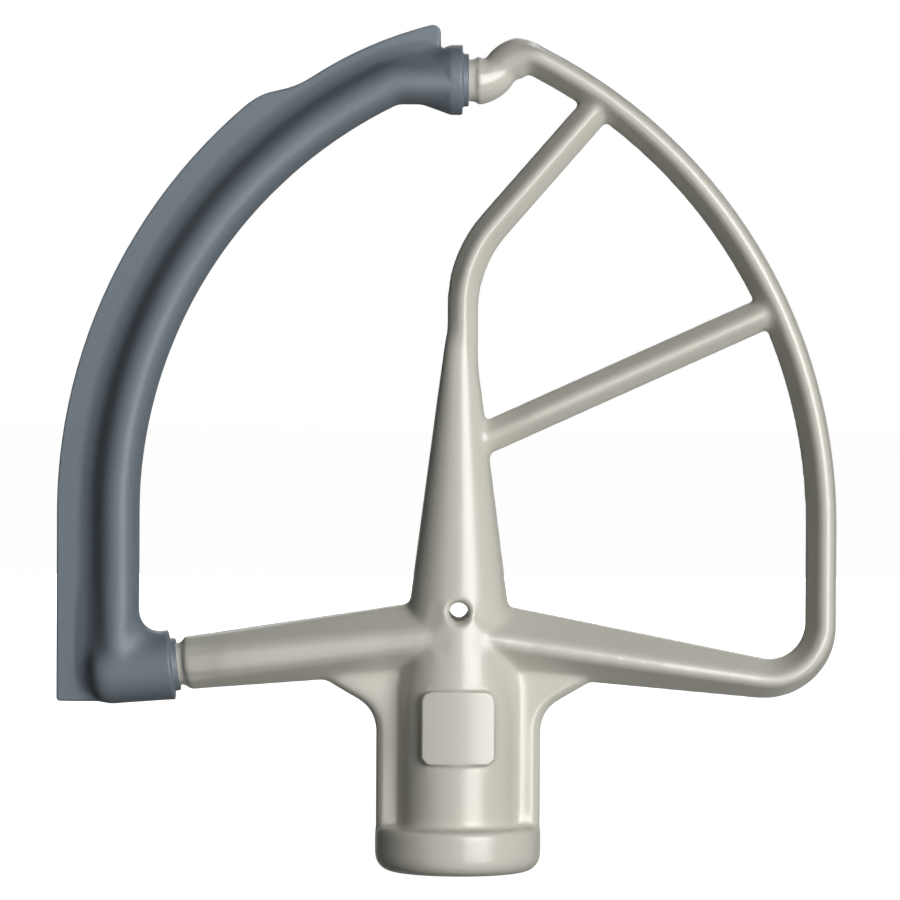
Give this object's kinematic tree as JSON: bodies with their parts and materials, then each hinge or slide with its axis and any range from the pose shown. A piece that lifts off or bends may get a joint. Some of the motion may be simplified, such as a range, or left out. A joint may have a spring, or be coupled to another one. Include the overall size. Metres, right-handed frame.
{
  "type": "stand mixer flat beater",
  "caption": "Flat beater for a stand mixer: a cast frame with a socket hub, tapered stem and struts, and a flexible scraping fin moulded along one side.",
  "frame": {"origin": "on the drive axis, in the mouth face of the hub", "axes": "+Z along the drive axis from the hub to the far end of the beater, +X across the flat beater towards the plain side, +Y through its thickness to the back"},
  "size_m": [0.1743, 0.037, 0.1889],
  "materials": {
    "casting": "satin coated casting",
    "silicone": "matte moulded silicone"
  },
  "bodies": {
    "root": {"beater_frame": "casting", "flex_edge": "silicone"}
  },
  "joints": []
}
